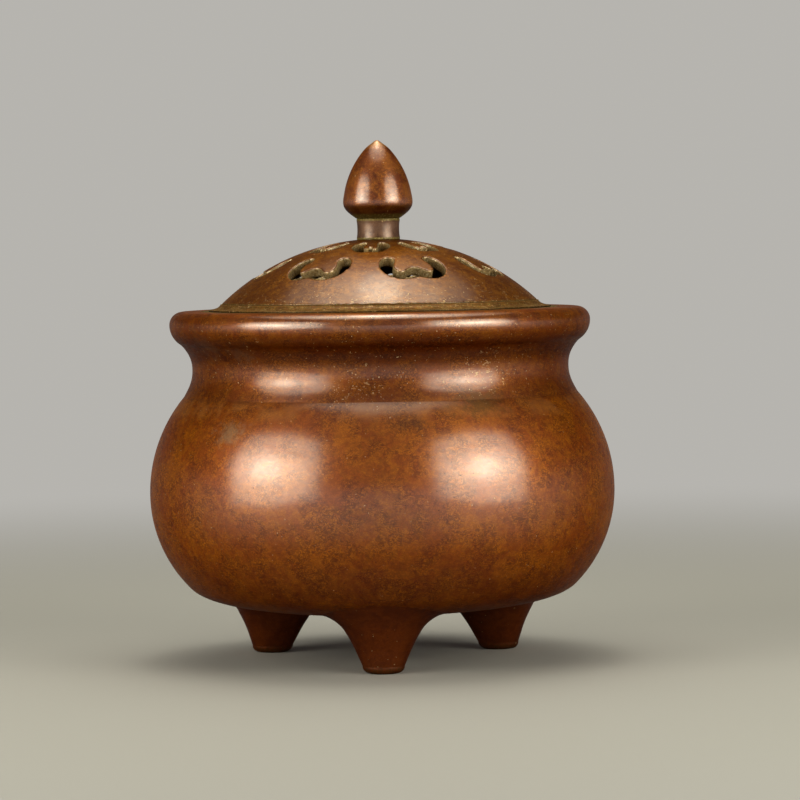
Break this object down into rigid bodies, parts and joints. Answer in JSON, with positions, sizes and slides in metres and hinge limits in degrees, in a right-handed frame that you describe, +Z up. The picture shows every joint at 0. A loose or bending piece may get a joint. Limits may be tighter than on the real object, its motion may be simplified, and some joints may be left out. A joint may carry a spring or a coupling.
{
  "type": "tripod incense burner",
  "caption": "Lidded tripod incense burner in patinated bronze: bulbous bowl with a rolled lip, trumpet feet, and a lift-off domed lid pierced with clouds under a lotus-bud finial.",
  "frame": {"origin": "on the ground, on the axis of the bowl", "axes": "+Z up along the axis of the bowl, -Y towards the front foot, +X to the right seen from the front"},
  "size_m": [0.11, 0.11, 0.1226],
  "materials": {
    "patinated_bronze": "waxed red-brown patina, satin, mottled and finely pitted",
    "olive_bronze": "dull olive-brown patina with verdigris grime",
    "fixing_brass": "tarnished brass, dull"
  },
  "bodies": {
    "burner": {"bowl": "patinated_bronze", "foot_front": "patinated_bronze", "foot_right": "patinated_bronze", "foot_left": "patinated_bronze"},
    "lid": {"lid_seat_ring": "olive_bronze", "lid_dome": "patinated_bronze", "finial_collar": "olive_bronze", "finial_bud": "patinated_bronze", "finial_stud": "fixing_brass", "finial_washer": "fixing_brass", "finial_nut": "fixing_brass"}
  },
  "joints": [
    {"name": "lid_lift", "type": "slide", "parent": "burner", "child": "lid", "axis": [0, 0, 1], "range_m": [0, 0.09]}
  ]
}
